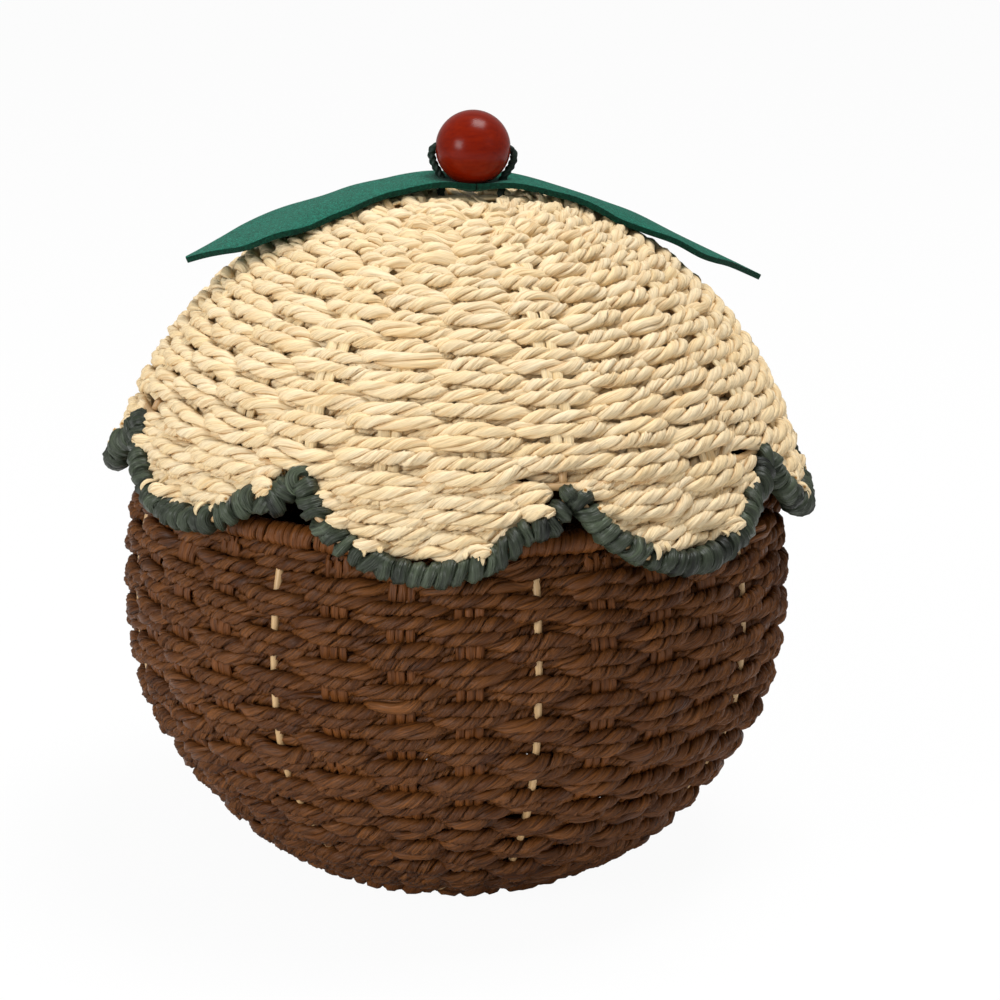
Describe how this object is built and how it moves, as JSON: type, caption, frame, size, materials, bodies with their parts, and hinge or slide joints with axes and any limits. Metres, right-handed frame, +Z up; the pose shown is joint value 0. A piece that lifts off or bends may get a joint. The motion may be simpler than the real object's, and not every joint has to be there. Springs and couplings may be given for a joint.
{
  "type": "lidded paper rope basket",
  "caption": "Round bowl-shaped basket woven from paper rope, with a domed lift-off lid that has a scalloped bound edge, felt leaves and a wooden bead on top.",
  "frame": {"origin": "middle of the base's underside, on the surface that the basket stands on", "axes": "+Z up; the picture's view is from -Y, a little above, with +X to its right"},
  "size_m": [0.2415, 0.2418, 0.2572],
  "materials": {
    "brown_rope": "matt twisted paper",
    "cream_rope": "matt twisted paper",
    "tan_wire": "satin coated wire",
    "green_binding": "matt paper strand",
    "green_felt": "heathered felt",
    "red_paint": "semi-gloss paint",
    "dark_cord": "matt twisted cord"
  },
  "bodies": {
    "basket": {"base_weave": "brown_rope", "foot_wire": "tan_wire", "foot_binding": "brown_rope", "body_weave": "brown_rope", "rim_wire": "tan_wire", "rim_binding": "brown_rope", "body_rib_1": "tan_wire", "body_rib_2": "tan_wire", "body_rib_3": "tan_wire", "body_rib_4": "tan_wire", "body_rib_5": "tan_wire", "body_rib_6": "tan_wire", "body_rib_7": "tan_wire", "body_rib_8": "tan_wire"},
    "lid": {"lid_weave": "cream_rope", "lid_hoop": "tan_wire", "edge_wire": "tan_wire", "edge_binding": "green_binding", "lid_rib_1": "tan_wire", "lid_rib_2": "tan_wire", "lid_rib_3": "tan_wire", "lid_rib_4": "tan_wire", "lid_rib_5": "tan_wire", "lid_rib_6": "tan_wire", "lid_rib_7": "tan_wire", "lid_rib_8": "tan_wire", "leaf_right": "green_felt", "leaf_left": "green_felt", "bead_cord": "dark_cord", "crown_knot": "dark_cord"},
    "bead": {"bead": "red_paint"}
  },
  "joints": [
    {"name": "lid_lift", "type": "slide", "parent": "basket", "child": "lid", "axis": [0, 0, 1], "range_m": [0, 0.12]},
    {"name": "bead_turn", "type": "hinge", "parent": "lid", "child": "bead", "pos_m": [0.00557, 0, 0.24472], "axis": [0.9991, 0, -0.0419], "continuous": true}
  ]
}
